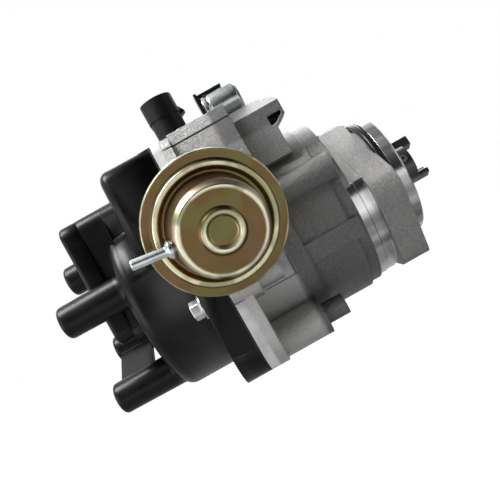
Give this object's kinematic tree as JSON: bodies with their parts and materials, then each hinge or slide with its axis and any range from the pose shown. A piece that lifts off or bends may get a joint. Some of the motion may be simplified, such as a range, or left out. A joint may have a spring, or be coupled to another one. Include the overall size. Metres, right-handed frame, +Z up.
{
  "type": "ignition distributor",
  "caption": "Camshaft-driven ignition distributor with plug-tower cap, vacuum advance canister, slotted mounting flange, pilot with O-ring and offset drive tangs.",
  "frame": {"origin": "on the shaft axis, in the plane of the mounting flange's engine-side face", "axes": "+X along the shaft towards the drive tangs, +Z up towards the harness socket and condenser, -Y towards the vacuum canister"},
  "size_m": [0.1696, 0.1347, 0.123],
  "materials": {
    "cap_plastic": "satin black moulding",
    "terminal_brass": "machined",
    "gasket_rubber": "matte black",
    "spacer_plastic": "pale grey moulding",
    "screw_steel": "zinc plated",
    "cast_aluminium": "as die cast, fine grain",
    "gold_zinc": "yellow zinc plating, iridescent",
    "bright_zinc": "bright zinc plating",
    "seal_rubber": "smooth black",
    "bearing_steel": "ground",
    "bush_bronze": "sintered bronze",
    "shaft_steel": "ground",
    "dark_steel": "dark oxide",
    "plate_zinc": "zinc plated sheet",
    "spring_steel": "drawn wire",
    "rotor_plastic": "dark phenolic moulding",
    "brush_carbon": "pressed carbon",
    "coil_resin": "cast resin",
    "connector_plastic": "black moulding",
    "pin_tin": "tin plated",
    "strap_black": "black plating"
  },
  "bodies": {
    "root": {"distributor_cap": "cap_plastic", "tower_terminals": "terminal_brass", "coil_terminal": "terminal_brass", "cap_gasket": "gasket_rubber", "diaphragm": "gasket_rubber", "dust_spacer": "spacer_plastic", "cap_screws": "screw_steel", "flange_screws": "screw_steel", "plate_screws": "screw_steel", "bracket_screws": "screw_steel", "cover_screws": "screw_steel", "condenser_screw": "screw_steel", "housing": "cast_aluminium", "mounting_flange": "cast_aluminium", "top_cover": "cast_aluminium", "canister_cover": "gold_zinc", "canister_base": "gold_zinc", "canister_bracket": "gold_zinc", "hose_nipple": "bright_zinc", "condenser": "bright_zinc", "o_ring": "seal_rubber", "oil_seal": "seal_rubber", "bearing_outer_race": "bearing_steel", "rear_bush": "bush_bronze", "coil_core": "dark_steel", "base_plate": "plate_zinc", "diaphragm_spring": "spring_steel", "brush_spring": "spring_steel", "ignition_coil": "coil_resin", "igniter_module": "coil_resin", "connector_body": "connector_plastic", "connector_pins": "pin_tin", "condenser_strap": "strap_black"},
    "shaft": {"shaft": "shaft_steel", "drive_coupling": "dark_steel", "roll_pin": "bearing_steel", "bearing_inner_race": "bearing_steel", "bearing_balls": "bearing_steel", "governor_plate": "plate_zinc", "governor_springs": "spring_steel"},
    "sleeve": {"advance_sleeve": "shaft_steel", "reluctor": "shaft_steel", "rotor_arm": "rotor_plastic", "rotor_contact": "terminal_brass"},
    "weight_a": {"weight_a": "dark_steel"},
    "weight_b": {"weight_b": "dark_steel"},
    "plate": {"pickup_plate": "plate_zinc", "pickup_coil": "rotor_plastic"},
    "rod": {"vacuum_rod": "shaft_steel"},
    "brush": {"carbon_brush": "brush_carbon"}
  },
  "joints": [
    {"name": "shaft_spin", "type": "hinge", "parent": "root", "child": "shaft", "pos_m": [-0.03, 0, 0], "axis": [1, 0, 0], "continuous": true},
    {"name": "centrifugal_advance", "type": "hinge", "parent": "shaft", "child": "sleeve", "pos_m": [-0.07, 0, 0], "axis": [1, 0, 0], "range_deg": [0, 12], "deforming": ["governor_springs"]},
    {"name": "weight_a_swing", "type": "hinge", "parent": "shaft", "child": "weight_a", "pos_m": [-0.0448, 0, 0.019], "axis": [1, 0, 0], "range_deg": [-14.1, 0]},
    {"name": "weight_b_swing", "type": "hinge", "parent": "shaft", "child": "weight_b", "pos_m": [-0.0448, 0, -0.019], "axis": [1, 0, 0], "range_deg": [-14.1, 0]},
    {"name": "vacuum_advance", "type": "hinge", "parent": "root", "child": "plate", "pos_m": [-0.071, 0, 0], "axis": [1, 0, 0], "range_deg": [0, 8]},
    {"name": "rod_slide", "type": "slide", "parent": "root", "child": "rod", "axis": [0.0958, -0.9531, -0.287], "range_m": [0, 0.0046], "deforming": ["diaphragm_spring", "diaphragm"]},
    {"name": "brush_slide", "type": "slide", "parent": "root", "child": "brush", "axis": [-1, 0, 0], "range_m": [0, 0.003], "stiffness_N_per_m": 60, "springref_m": -0.004, "deforming": ["brush_spring"]}
  ],
  "couplings": [
    {"joint": "weight_a_swing", "follows": "centrifugal_advance", "ratio": -1.1696},
    {"joint": "weight_b_swing", "follows": "centrifugal_advance", "ratio": -1.1696},
    {"joint": "rod_slide", "follows": "vacuum_advance", "m_per_rad": 0.03244}
  ]
}
